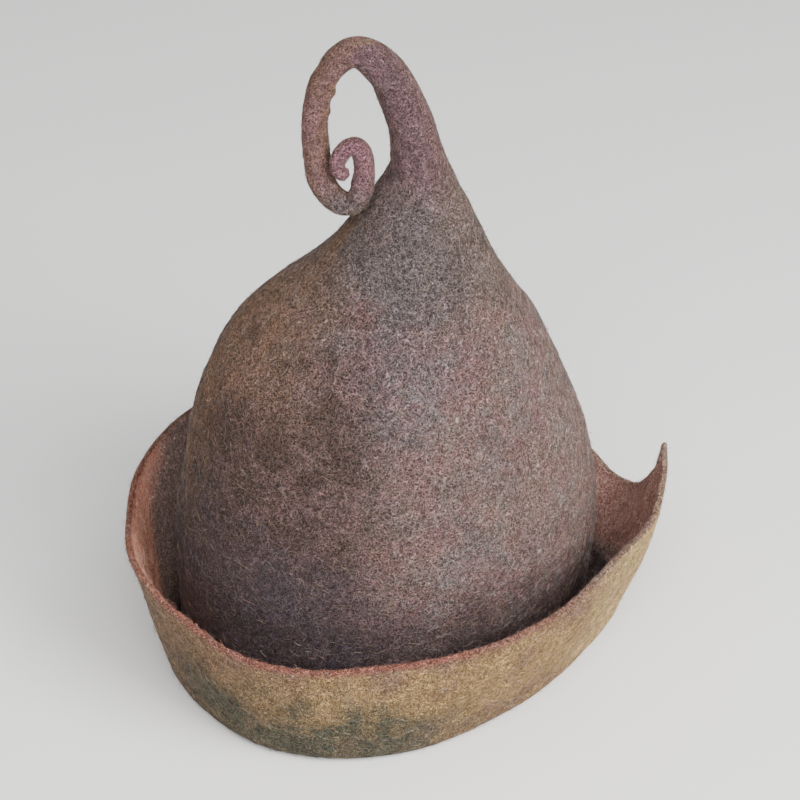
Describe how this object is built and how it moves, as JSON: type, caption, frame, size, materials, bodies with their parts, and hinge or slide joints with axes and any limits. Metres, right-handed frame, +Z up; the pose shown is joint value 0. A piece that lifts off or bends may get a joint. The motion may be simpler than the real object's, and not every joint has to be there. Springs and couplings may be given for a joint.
{
  "type": "felt hat",
  "caption": "Tall felted wool hat whose crown narrows into a curled tail, with a turned-up brim drawn out into a point.",
  "frame": {"origin": "middle of the outer box, on the surface the hat stands on", "axes": "+Z up through the crown, +X along the long way of the head opening, towards the brim's point"},
  "size_m": [0.2746, 0.221, 0.3294],
  "materials": {
    "felt": "matt wool felt with loose fibres"
  },
  "bodies": {
    "root": {"felt_hat": "felt"}
  },
  "joints": []
}
